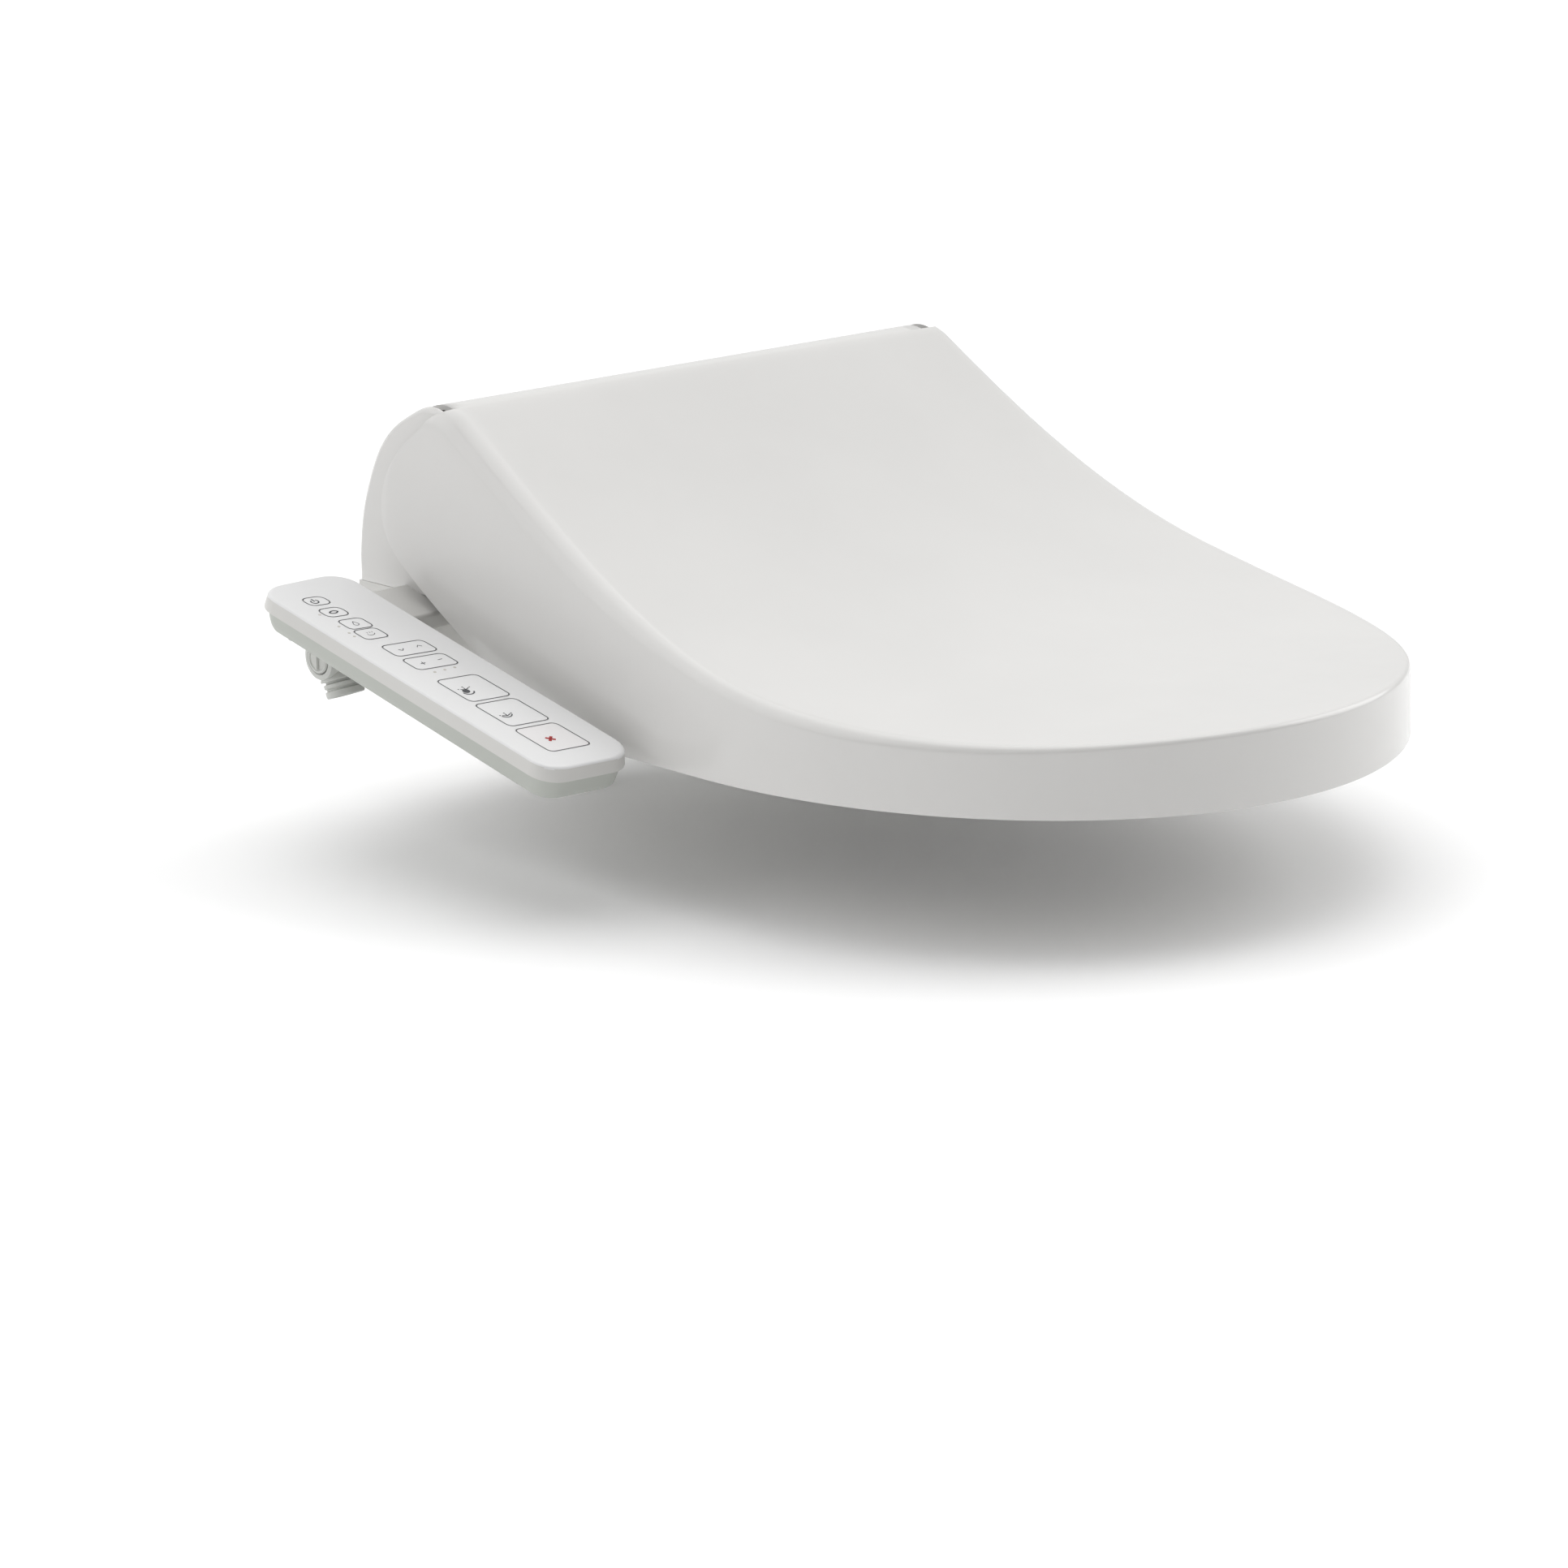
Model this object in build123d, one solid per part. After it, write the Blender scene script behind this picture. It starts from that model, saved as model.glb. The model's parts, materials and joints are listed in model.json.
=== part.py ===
from build123d import *
import os
from math import cos, hypot, pi, radians, sin

# Electric bidet seat. Millimetres. +X is to the right seen from the front, +Y is to the rear, +Z is up.
# The origin is the point midway between the two fixing bolts, in the plane of the bowl's rim.

# ---- driving dimensions -------------------------------------------------------------------------------------
BOLT_SPACING = 140.0                     # standard spacing of seat fixing holes
BOLT_R = 3.0                             # M6
BOLT_PLAIN, THREAD_R = 26.0, 2.8         # the plain shank that passes through the bowl, the thread below it
AXIS_Y, AXIS_Z = -12.0, 112.0            # the hinge axis that the seat and the lid share
PIN_R = 5.0
RUN = 0.06                               # radial running clearance

LID_TIP = -472.0                         # front of the lid at its lower edge
LID_HALF = 205.0                         # half the widest width, at the lower edge
LID_WIDE_Y = -236.0                      # where the lid is widest
LID_REAR_HALF = 202.5
LID_BOTTOM_Z, LID_LOFT_Z = 5.0, 172.0
LID_WALL = 3.0
LID_TOP = [(-482, 43.9), (-471, 43.7), (-405, 40.6), (-318, 43.4), (-208, 65.4), (-112, 111.0), (-32.5, 162.5)]
LID_EAR = [(-32.5, 162.5), (-15, 150), (5, 136), (17, 114), (15, 90), (-3, 73), (-35, 53)]

SEAT_TIP, SEAT_HALF, SEAT_REAR_HALF, SEAT_REAR_Y = -463.0, 196.0, 194.0, -124.0
SEAT_HOLE = (115.0, 122.5)               # half sizes of the opening
SEAT_HOLE_Y = -272.5
SEAT_Z = (6.0, 33.0)
ARM_X = (181.5, 187.0)
LOBE_R = 24.0

BODY_HALF = 180.5                        # beside the seat arms
TAIL_HALF, TAIL_Y = 190.5, 20.0          # behind them
BODY_FRONT, BODY_REAR = -118.0, 49.0
BODY_Z = (3.0, 58.0)
WALL = 3.0
COVER_CURVE = [(49, 72), (45, 96), (37, 117.5), (27, 135), (14, 147.5), (0, 155.3), (-12, 160.3), (-22, 160.6),
               (-30, 157.8)]
UPPER_OUT = [(-118, 58), (-118, 84), (-112, 95), (-44, 140), (-30, 146), (-12, 149), (8, 142), (23, 128), (31, 108),
             (33, 58)]
UPPER_IN = [(-115, 57), (-115, 83), (-110, 93), (-42, 137), (-29, 143), (-12, 146), (6, 139.5), (20, 126.5),
            (28, 107), (30, 57)]

NOZZLE_EXIT = (0.0, -112.0, -4.0)
NOZZLE_SLOPE = 35.0                      # degrees below the horizontal, towards the front
NOZZLE_TRAVEL = 90.0
NOZZLE_R = 4.5
MODULE, PINION_TEETH = 1.0, 14
PINION_AT = -43.0                        # along the nozzle's line

PANEL_SLOPE = 14.46                      # degrees, down towards the front
PANEL_AT = (-248.0, 0.0, 66.42)          # a point on the panel's top face
PANEL_BAND = 6.5                         # height of the white upper shell
PANEL_CORNER_R = 14.0
PANEL_PLAN = [(-31, 22.5), (25, 22.5), (32, -209), (-31, -209)]
PANEL_SIDE = [(21, -6.5), (13, -16.5), (5, -19), (-122, -19), (-138, -16.5), (-205, -11.5), (-207.5, -6.5)]
GAP = 0.5                                # around every button
# centre x, y, size x, size y, corner radius, in the panel's own plane
BUTTONS = {
    "power_button": (-10.4, -2.1, 11.0, 11.0, 5.4),
    "energy_saver_button": (-10.1, -16.6, 11.5, 11.0, 5.3),
    "water_temperature_button": (-8.0, -32.4, 13.0, 12.4, 4.6),
    "seat_temperature_button": (-8.0, -45.4, 13.0, 12.4, 4.6),
    "position_rocker": (-0.1, -67.4, 25.5, 12.0, 5.4),
    "pressure_rocker": (0.2, -84.4, 25.5, 12.6, 5.6),
    "rear_wash_button": (1.3, -117.7, 26.0, 25.0, 7.5),
    "front_wash_button": (2.0, -147.4, 26.0, 25.0, 7.5),
    "stop_button": (3.0, -177.6, 26.5, 25.0, 7.5),
}
LAMPS = [(-5.5, -95.0), (1.0, -95.0), (7.5, -95.0), (-18.3, -31.8), (-18.1, -40.2), (-18.1, -44.5), (-18.9, -16.3)]

INLET = (13.0, 30.0)                     # y, z of the inlet elbow's axis
INLET_THREAD_R = 10.48                   # G 1/2
INLET_TILT = 20.0                        # degrees forward of straight down
INLET_X = -236.0
GLAND_AT = (35.0, 25.0)                  # y, z
GLAND_BORE_R = 3.6


# ---- small helpers ------------------------------------------------------------------------------------------
def box(x0, x1, y0, y1, z0, z1):
    return Pos((x0 + x1) / 2, (y0 + y1) / 2, (z0 + z1) / 2) * Box(x1 - x0, y1 - y0, z1 - z0)


def rod_x(x0, x1, y, z, r):
    return Pos((x0 + x1) / 2, y, z) * Rot(0, 90, 0) * Cylinder(r, abs(x1 - x0))


def rod_z(x, y, z0, z1, r):
    return Pos(x, y, (z0 + z1) / 2) * Cylinder(r, abs(z1 - z0))


def side_prism(points, x0, x1):
    """A closed side-view polygon (y, z) carried from x0 to x1."""
    return extrude(Plane.YZ.offset(x0) * make_face(Polyline(*points, close=True)), x1 - x0)


def both_sides(shape):
    return shape + mirror(shape, about=Plane.YZ)


def d_outline(half, y_wide, tip, rear_half, y_rear):
    """Half ellipse in front, nearly straight sides behind."""
    front = EllipticalCenterArc((0, y_wide), half, y_wide - tip, start_angle=180, arc_size=180)
    sides = Polyline((half, y_wide), (rear_half, y_rear), (-rear_half, y_rear), (-half, y_wide))
    return make_face(front + sides)


def tube(points, r_out, r_in=0.0, along=1):
    """A hose through the given points, its ends square to the X axis."""
    path = Spline(*points, tangents=((along, 0, 0), (along, 0, 0)))
    ends = Plane(origin=path @ 0, z_dir=path % 0)
    hose = sweep(ends * Circle(r_out), path=path)
    return hose - sweep(ends * Circle(r_in), path=path) if r_in else hose


# ---- lid ----------------------------------------------------------------------------------------------------
def lid_block(inset, z0):
    """The lid's plan outline, lofted inwards as it rises."""
    rise = (LID_LOFT_Z - LID_BOTTOM_Z)
    k = (z0 - LID_BOTTOM_Z) / rise
    sections = []
    for t, z in ((k, z0), (1.0, LID_LOFT_Z)):
        face = d_outline(LID_HALF - inset - 12.0 * t, LID_WIDE_Y + 6 * t, LID_TIP + inset + 4.3 * t,
                         LID_REAR_HALF - inset - 9.0 * t, 70)
        sections.append(Pos(0, 0, z) * face)
    return loft(sections, ruled=True)


def lid_side(drop):
    """Side view of the lid; drop > 0 gives the space under its top, open behind."""
    top = Spline(*[(y, z - drop) for y, z in LID_TOP])
    if drop:
        rest = Polyline(top @ 1, (75, 215), (75, -5), (LID_TOP[0][0], -5), top @ 0)
        return extrude(Plane.YZ.offset(-215) * make_face(top + rest), 430)
    ear = Spline(*LID_EAR)
    rest = Polyline(ear @ 1, (-122, LID_BOTTOM_Z), (LID_TOP[0][0], LID_BOTTOM_Z), top @ 0)
    return extrude(Plane.YZ.offset(-215) * make_face(top + ear + rest), 430)


def lid_shell():
    lid = lid_block(0, LID_BOTTOM_Z) & lid_side(0)
    lid -= lid_block(LID_WALL, LID_BOTTOM_Z - 2) & lid_side(LID_WALL)
    lid += both_sides(rod_x(191.4, 194.6, AXIS_Y, AXIS_Z, 9.0))
    lid -= both_sides(rod_x(190.0, 195.2, AXIS_Y, AXIS_Z, PIN_R + RUN))
    return lid


def lid_bumpers():
    """Four buffers under the lid, stopping just above the seat."""
    pads = [Pos(x, y, 35.2) * Cylinder(6, 4.2) for x, y in ((-120, -405), (120, -405))]
    pads += [Pos(x, y, 36.2) * Cylinder(6, 6.2) for x, y in ((-160, -300), (160, -300))]
    return Part() + pads


# ---- seat ---------------------------------------------------------------------------------------------------
def seat_ring(inset, z0, z1):
    outer = d_outline(SEAT_HALF - inset, LID_WIDE_Y, SEAT_TIP + inset, SEAT_REAR_HALF - inset, SEAT_REAR_Y - inset)
    hole = Pos(0, SEAT_HOLE_Y) * Ellipse(SEAT_HOLE[0] + inset, SEAT_HOLE[1] + inset)
    return extrude(Pos(0, 0, z0) * (outer - hole), z1 - z0)


def seat_arm():
    """Plate from the ring's rear corner up to the hinge axis."""
    edge = [(-172, 10), (-124, 10), (1.1, 91.9), (-26.2, 131.3), (-160, 32), (-172, 31)]
    plate = side_prism(edge, *ARM_X) + rod_x(*ARM_X, AXIS_Y, AXIS_Z, LOBE_R)
    return plate - rod_x(ARM_X[0] - 1, ARM_X[1] + 1, AXIS_Y, AXIS_Z, 7.0)


def seat_top_shell():
    ring = seat_ring(0, SEAT_Z[0] + 3, SEAT_Z[1])
    ring = fillet(ring.edges().filter_by_position(Axis.Z, SEAT_Z[1] - 0.01, SEAT_Z[1] + 0.01), 8.0)
    ring -= seat_ring(WALL, SEAT_Z[0] + 2, SEAT_Z[1] - WALL - 2.5)
    return ring - both_sides(seat_arm())


def seat_bumpers():
    pads = [Pos(x, y, 3) * Cylinder(9, 6) for x, y in
            ((-155, -210), (155, -210), (-120, -385), (120, -385))]
    return Part() + pads


# ---- fixed body ---------------------------------------------------------------------------------------------
def base_housing():
    z0, z1 = BODY_Z
    tub = box(-BODY_HALF, BODY_HALF, BODY_FRONT, BODY_REAR, z0, z1)
    tub += box(-TAIL_HALF, TAIL_HALF, TAIL_Y, BODY_REAR, z0, z1)
    tub = fillet(tub.edges().filter_by(Axis.Z).filter_by_position(Axis.Y, BODY_FRONT - 1, BODY_FRONT + 1), 12)
    inner = box(-BODY_HALF + WALL, BODY_HALF - WALL, BODY_FRONT + WALL, BODY_REAR - WALL, z0 + WALL, z1 + 1)
    inner += box(-TAIL_HALF + WALL, TAIL_HALF - WALL, TAIL_Y + WALL, BODY_REAR - WALL, z0 + WALL, z1 + 1)
    tub -= fillet(inner.edges().filter_by(Axis.Z).filter_by_position(Axis.Y, BODY_FRONT + 2, BODY_FRONT + 4), 9)
    tub += box(-104, 104, -44, BODY_REAR, z0, 12)                     # raised floor over the mounting plate
    tub -= box(-100.5, 100.5, -40.5, BODY_REAR + 1, z0 - 1, 9)
    tub += box(-21, 21, -119, -78, -14, 8)                            # cheeks beside the nozzle
    tub -= box(-14, 14, -122, -80, -20, 14)
    tub -= rod_x(-195, -176, *INLET, 12.1)
    tub -= rod_x(178, 195, *GLAND_AT, 7.1)
    tub -= box(176, 182, -12.4, 12.4, 17.6, 30.4)                     # release button
    tub -= box(-183, -176, -24, 4, 46.4, 55)                          # way through to the panel neck
    for x, y in HOUSING_SCREWS:
        tub += rod_z(x, y, z0 + WALL, 20, 5)
        tub -= rod_z(x, y, z0 - 1, 15, 2.1)
        tub -= rod_z(x, y, z0 - 1, 6.6, 4.1)
    return tub


HOUSING_SCREWS = [(-165, -95), (165, -95), (-60, -100), (60, -100), (-165, 33), (165, 33)]


def top_cover():
    cover = side_prism(UPPER_OUT, -BODY_HALF, BODY_HALF)
    cover -= side_prism(UPPER_IN, -BODY_HALF + WALL, BODY_HALF - WALL)
    cover = fillet(cover.edges().filter_by(Axis.Z).filter_by_position(Axis.Y, BODY_FRONT - 1, BODY_FRONT + 1), 10)
    return cover - both_sides(rod_x(176, 182, AXIS_Y, AXIS_Z, PIN_R + RUN))


def cover_points(inset):
    """Side curve of the rear cover, moved towards its middle by inset."""
    points = []
    for y, z in COVER_CURVE:
        r = hypot(y, z - 85)
        points.append((y * (1 - inset / r), 85 + (z - 85) * (1 - inset / r)))
    return points


def cover_block(inset, x):
    curve = Spline(*cover_points(inset))
    front, low = -30 + (inset and -2), BODY_Z[1] - (inset and 1)
    rest = Polyline(curve @ 1, (front, (curve @ 1).Y), (front, low), ((curve @ 0).X, low), curve @ 0) if inset else (
        Polyline(curve @ 1, (front, low), ((curve @ 0).X, low), curve @ 0))
    return extrude(Plane.YZ.offset(-x) * make_face(curve + rest), 2 * x)


def rear_cover():
    inner = cover_block(WALL, TAIL_HALF + 1)
    cover = cover_block(0, TAIL_HALF) - (inner & box(-TAIL_HALF + WALL, TAIL_HALF - WALL, -60, 60, 40, 180))
    cover -= both_sides(box(BODY_HALF + 0.3, TAIL_HALF - WALL, -60, 0, 40, 180))      # ways for the seat arms
    cover -= both_sides(box(BODY_HALF, 200, -60, TAIL_Y, 40, 67))                      # over the panel neck
    return cover - both_sides(rod_x(186, 192, AXIS_Y, AXIS_Z, PIN_R + RUN))


def mounting_plate():
    plate = fillet(box(-98, 98, -38, 44, 0, 7.6).edges().filter_by(Axis.Z), 10)
    for x in (-BOLT_SPACING / 2, BOLT_SPACING / 2):
        plate -= box(x - 7.3, x + 7.3, -14, 14, 4.4, 8)
        plate -= box(x - 3.4, x + 3.4, -12, 12, -1, 5)
    plate -= box(-45, 45, -25, 30, 4.0, 8)
    return plate


def fixing_bolts():
    bolt = box(63, 77, -7, 7, 4.4, 7.4) + rod_z(70, 0, 0, 4.4, BOLT_R + 0.2)
    bolt += rod_z(70, 0, -BOLT_PLAIN, 0, BOLT_R) + rod_z(70, 0, -70, -BOLT_PLAIN, THREAD_R)
    return both_sides(bolt)


def cone_washers():
    cone = Pos(70, 0, -36) * Cone(8, 12, 16) - rod_z(70, 0, -50, -20, THREAD_R + 0.05)
    return both_sides(cone)


def wing_nuts():
    nut = rod_z(70, 0, -56, -44.2, 8)
    nut += box(55, 85, -1.8, 1.8, -58, -48)
    nut = nut - rod_z(70, 0, -60, -40, THREAD_R + 0.05)
    return both_sides(nut)


def inlet_elbow():
    y, z = INLET
    elbow = rod_x(-248, -173, y, z, 12)
    elbow += rod_x(-177.4, -173, y, z, 15)
    down = Location((INLET_X, y, z), (-INLET_TILT, 0, 0))
    elbow += down * (Pos(0, 0, -6.5) * Cylinder(11.7, 13))
    elbow += down * (Pos(0, 0, -11) * Cylinder(INLET_THREAD_R, 22))
    elbow -= down * (Pos(0, 0, -13) * Cylinder(7.0, 20))
    elbow -= rod_x(-236, -168, y, z, 6.0)
    elbow -= rod_x(-250, -240, y, z, 8.3)
    return elbow


def drain_plug():
    y, z = INLET
    plug = rod_x(-249.2, -240.5, y, z, 8.2)
    return plug - box(-251, -247, y - 1, y + 1, z - 5.5, z + 5.5)


def hinge_pins():
    return both_sides(rod_x(172.2, 194.8, AXIS_Y, AXIS_Z, PIN_R))


def damper(x0, x1):
    barrel = rod_x(x0, x1, AXIS_Y, AXIS_Z, 13)
    return barrel + box(x0 + 5, x1 - 5, AXIS_Y - 5, AXIS_Y + 5, AXIS_Z - 18, AXIS_Z)


# ---- nozzle -------------------------------------------------------------------------------------------------
def nozzle_frame():
    """Local z runs out of the body along the nozzle, local y is up from it."""
    a = radians(NOZZLE_SLOPE)
    return Plane(origin=NOZZLE_EXIT, x_dir=(1, 0, 0), z_dir=(0, -cos(a), -sin(a)))


def nozzle_tube():
    tube_ = Pos(0, 0, -78) * Cylinder(NOZZLE_R, 124) - Pos(0, 0, -78) * Cylinder(2.6, 126)
    return nozzle_frame() * tube_


def nozzle_tip():
    tip = Pos(0, 0, -8.5) * Cylinder(NOZZLE_R, 15)
    tip = fillet(tip.edges().sort_by(Axis.Z)[-1], 3.5)
    for z in (-8.0, -4.5):
        for x in (-1.3, 0, 1.3):
            tip -= Pos(x, 4, z) * Rot(90, 0, 0) * Cylinder(0.45, 4)
    return nozzle_frame() * tip


def rack_tooth(y0, z):
    """One straight tooth across x, on a rack whose teeth point to +y."""
    half, pitch = 0.42, MODULE * pi
    side = [(y0 - 0.2, z - half * pitch), (y0, z - 0.62 * half * pitch - 0.32), (y0 + 1.7, z - 0.30 * half * pitch),
            (y0 + 1.7, z + 0.30 * half * pitch), (y0, z + 0.62 * half * pitch + 0.32), (y0 - 0.2, z + half * pitch)]
    return extrude(Plane.YZ.offset(-2.4) * make_face(Polyline(*side, close=True)), 4.8)


def nozzle_rack():
    pitch = MODULE * pi
    bar = Pos(0, 5.45, -87.5) * Box(4.8, 2.9, 103) - Pos(0, 0, -87.5) * Cylinder(NOZZLE_R, 110)
    teeth = [rack_tooth(6.9, PINION_AT + pitch * (0.5 - k)) for k in range(-1, 31)]
    return nozzle_frame() * (bar + teeth)


def drive_pinion():
    """Sits over the rack, a tooth pointing straight down into a gap."""
    r = MODULE * PINION_TEETH / 2
    blank = Cylinder(r - 1.15, 4.4)
    for k in range(PINION_TEETH):
        tooth = [(r - 1.4, -1.15), (r - 0.1, -0.62), (r + 0.75, -0.26), (r + 0.75, 0.26), (r - 0.1, 0.62),
                 (r - 1.4, 1.15)]
        face = make_face(Polyline(*tooth, close=True))
        blank += Rot(0, 0, 360 / PINION_TEETH * k) * (Pos(0, 0, -2.2) * extrude(face, 4.4))
    gear = Rot(0, 90, 0) * Rot(0, 0, -90) * blank + rod_x(-3, 20, 0, 0, 1.5)
    return nozzle_frame() * (Pos(0, 8.0 + r, PINION_AT) * gear)


def nozzle_motor():
    case = rod_x(8, 32, 0, 0, 11) - rod_x(7, 21, 0, 0, 1.5 + RUN)
    return nozzle_frame() * (Pos(0, 8.0 + MODULE * PINION_TEETH / 2, PINION_AT) * case)


def nozzle_guide():
    guide = Pos(0, -2.0, -76) * Box(18, 11, 140)
    guide -= Pos(0, 0, -76) * Cylinder(NOZZLE_R + RUN, 150)
    guide -= Pos(0, 3, -76) * Box(6.4, 6, 150)
    guide += Pos(13.8, 4, PINION_AT) * Box(9.5, 10, 16)
    guide -= Pos(0, 8 + 7, PINION_AT) * rod_x(7, 40, 0, 0, 11.1)
    return nozzle_frame() * guide


# ---- control panel ------------------------------------------------------------------------------------------
def panel_frame():
    a = radians(PANEL_SLOPE)
    return Plane(origin=PANEL_AT, x_dir=(1, 0, 0), z_dir=(0, -sin(a), cos(a)))


def panel_plan(inset):
    x0, x1, x2 = PANEL_PLAN[0][0] + inset, PANEL_PLAN[1][0] - inset, PANEL_PLAN[2][0] - inset
    y0, y1 = PANEL_PLAN[2][1] + inset, PANEL_PLAN[0][1] - inset
    face = make_face(Polyline((x0, y1), (x1, y1), (x2, y0), (x0, y0), close=True))
    return fillet(face.vertices(), PANEL_CORNER_R - 0.7 * inset)


def button_face(spec, grow=0.0):
    x, y, w, h, r = spec
    return Pos(x, y) * RectangleRounded(w + 2 * grow, h + 2 * grow, r + grow)


def panel_top_shell():
    shell = Pos(0, 0, -PANEL_BAND) * extrude(panel_plan(0), PANEL_BAND)
    shell = fillet(shell.edges().filter_by_position(Axis.Z, -0.01, 0.01), 1.6)
    shell -= Pos(0, 0, -PANEL_BAND - 1) * extrude(panel_plan(2.5), PANEL_BAND - 1.5)
    for spec in BUTTONS.values():
        shell -= Pos(0, 0, -5) * extrude(button_face(spec, GAP), 6)
    for x, y in LAMPS:
        shell -= Pos(x, y, -1) * Cylinder(1.0, 6)
    return panel_frame() * shell


def panel_bottom_block(inset):
    side = [(y, z) for y, z in PANEL_SIDE]
    if inset:
        side = [(19.5, -5), (11.5, -15), (4, -16.5), (-121, -16.5), (-137, -14), (-203, -9.3), (-205.5, -5)]
    block = extrude(Plane.YZ.offset(-40) * make_face(Polyline(*side, close=True)), 80)
    plan = Pos(0, 0, -25) * extrude(panel_plan(1.5 + inset), 25)
    return block & plan


def panel_bottom_shell():
    shell = panel_bottom_block(0) - panel_bottom_block(2.5)
    for x, y in PANEL_SCREWS:
        shell -= Pos(x, y, -17) * Cylinder(2.6, 12)
    shell -= Pos(28, -10, -11) * Box(12, 14, 5)
    return panel_frame() * shell


PANEL_SCREWS = [(-22, -4), (17, -4), (-22, -112), (19, -112)]


def panel_screws():
    screws = [Pos(x, y, -15.1) * Cylinder(2.4, 6.2) - Pos(x, y, -18) * Box(3.2, 0.8, 1.2) for x, y in PANEL_SCREWS]
    return panel_frame() * (Part() + screws)


def panel_neck():
    """Hollow bridge from the body's side to the panel."""
    neck = Pos(46, -10, -12) * Box(44, 36, 10.4)
    neck = fillet(neck.edges().filter_by(Axis.X), 2.0)
    neck -= Pos(44, -10, -12) * Box(60, 29, 4.6)
    neck = panel_frame() * neck
    return neck - panel_frame() * (Pos(0, 0, -25) * extrude(panel_plan(1.4), 25)) - box(-BODY_HALF, -100, -100, 60, 0, 100)


def button_mat():
    mat = Pos(0, 0, -6.3) * extrude(panel_plan(4.5), 1.0)
    return panel_frame() * mat


def panel_circuit_board():
    board = Pos(0, 0, -8.4) * extrude(panel_plan(6.5), 1.6)
    chips = [Pos(x, y, -9.2) * Box(w, h, 1.6) for x, y, w, h in ((5, -30, 12, 12), (-8, -70, 8, 14), (8, -100, 10, 6))]
    return panel_frame() * (board + chips)


def indicator_lenses():
    lamps = [Pos(x, y, -2.4) * Cylinder(0.85, 4.9) for x, y in LAMPS]
    return panel_frame() * (Part() + lamps)


def panel_button(name):
    spec = BUTTONS[name]
    cap = Pos(0, 0, -3.6) * extrude(button_face(spec), 3.7)
    cap = fillet(cap.edges().sort_by(Axis.Z)[-8:], 0.4)
    flange = 1.1 if "rocker" not in name and "temperature" not in name else 0.0
    if flange:
        cap += Pos(0, 0, -4.2) * extrude(button_face(spec, flange), 0.7)
    return panel_frame() * cap


# ---- inside -------------------------------------------------------------------------------------------------
def inlet_valve():
    valve = box(-168, -128, 0, 27, 16, 42) + rod_z(-142, 14, 42, 66, 10) + rod_x(-173, -168, *INLET, 9)
    return valve + rod_x(-128, -118, 14, 28, 4)


def flow_regulator():
    return rod_x(-98, -60, 14, 28, 11) + rod_x(-108, -98, 14, 28, 4) + rod_x(-60, -50, 14, 28, 4)


def heater_tank():
    tank = fillet(box(62, 164, -80, -10, 14, 74).edges(), 8)
    tank -= box(66, 160, -76, -14, 18, 70)
    tank += rod_x(50, 62.1, -20, 30, 4) + rod_x(50, 62.1, -62, 58, 4)
    return tank


def heater_element():
    bars = [rod_x(74, 150, y, z, 4) for y, z in ((-60, 34), (-45, 50), (-30, 34))]
    return Part() + bars + rod_x(70, 74, -45, 39, 17)


def water_hoses():
    hoses = [rod_x(-117.8, -108.2, 14, 28, 5.2) - rod_x(-120, -107, 14, 28, 4.0)]
    hoses += [tube([(-49.8, 14, 28), (-20, 24, 26), (20, 16, 26), (49.8, -20, 30)], 5.2, 4.0)]
    hoses += [tube([(49.8, -62, 58), (38, -60, 66), (30, -10, 92), (12, 9, 92)], 4.4, 3.0, -1)]
    return Part() + hoses


def main_circuit_board():
    board = box(-160, -64, -88, -20, 24, 25.6)
    for x, y, w, d, h in ((-145, -70, 20, 20, 12), (-118, -72, 10, 10, 18), (-100, -45, 18, 26, 8), (-140, -36, 26, 12, 10),
                          (-78, -70, 12, 22, 9)):
        board += box(x - w / 2, x + w / 2, y - d / 2, y + d / 2, 25.6, 25.6 + h)
    for x, y, foot in ((-154, -82, 6), (-70, -82, 6), (-154, -25, 6), (-70, -25, 12)):
        board += rod_z(x, y, foot, 24, 3)
    return board


def power_board():
    board = box(106, 163, 4, 26, 22, 23.6) + box(112, 136, 6, 22, 23.6, 42) + rod_z(152, 14, 23.6, 44, 8)
    for x in (110, 159):
        board += rod_z(x, 15, 6, 22, 3)
    return board


def cord_gland():
    y, z = GLAND_AT
    gland = rod_x(182, 199, y, z, 7) + rod_x(190.5, 199, y, z, 9.5) + rod_x(182, 187.5, y, z, 9.5)
    return gland - rod_x(180, 200, y, z, GLAND_BORE_R)


def release_button():
    return box(173, 182.7, -12, 12, 18, 30) + box(171, 173, -15, 15, 16, 32)


def release_spring():
    helix = Helix(pitch=2.2, height=9.6, radius=3.4, center=(0, 0, 0), direction=(1, 0, 0))
    coil = sweep(Plane(origin=helix @ 0, z_dir=helix % 0) * Circle(0.4), path=helix)
    return Pos(160.8, 0, 24) * coil


def housing_screws():
    screws = [rod_z(x, y, 4.0, 6.5, 3.9) + rod_z(x, y, 6.5, 14.5, 2.0) for x, y in HOUSING_SCREWS]
    return Part() + screws


def base_pads():
    return Part() + [Pos(x, y, 1.5) * Cylinder(9, 3) for x, y in ((-150, -75), (150, -75), (-150, 25), (150, 25))]


def export(name, shape):
    export_step(Compound(label=name, children=list(shape.solids())) if len(shape.solids()) > 1 else shape.solids()[0],
                f"parts/{name}.step")


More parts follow.
